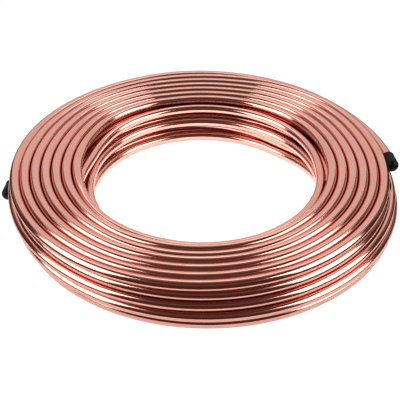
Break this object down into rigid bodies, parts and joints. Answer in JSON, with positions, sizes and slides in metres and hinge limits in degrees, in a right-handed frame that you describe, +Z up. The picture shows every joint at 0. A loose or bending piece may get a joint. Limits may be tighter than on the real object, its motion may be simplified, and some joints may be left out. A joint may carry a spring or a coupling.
{
  "type": "copper tube coil",
  "caption": "Soft copper tube wound flat in close layered turns round an open bore, with both free ends on the outside under plastic caps.",
  "frame": {"origin": "in the middle of the footprint, in the plane that the lowest turns lie on; the coil's axis is 3.5 mm from it towards +X", "axes": "+Z up along the coil's axis, +Y away from the viewer, +X towards the finish cap"},
  "size_m": [0.3852, 0.3686, 0.0461],
  "materials": {
    "copper": "drawn soft copper, satin, salmon pink",
    "cap_plastic": "moulded, glossy black"
  },
  "bodies": {
    "root": {"copper_tube": "copper", "finish_cap": "cap_plastic", "start_cap": "cap_plastic"}
  },
  "joints": []
}
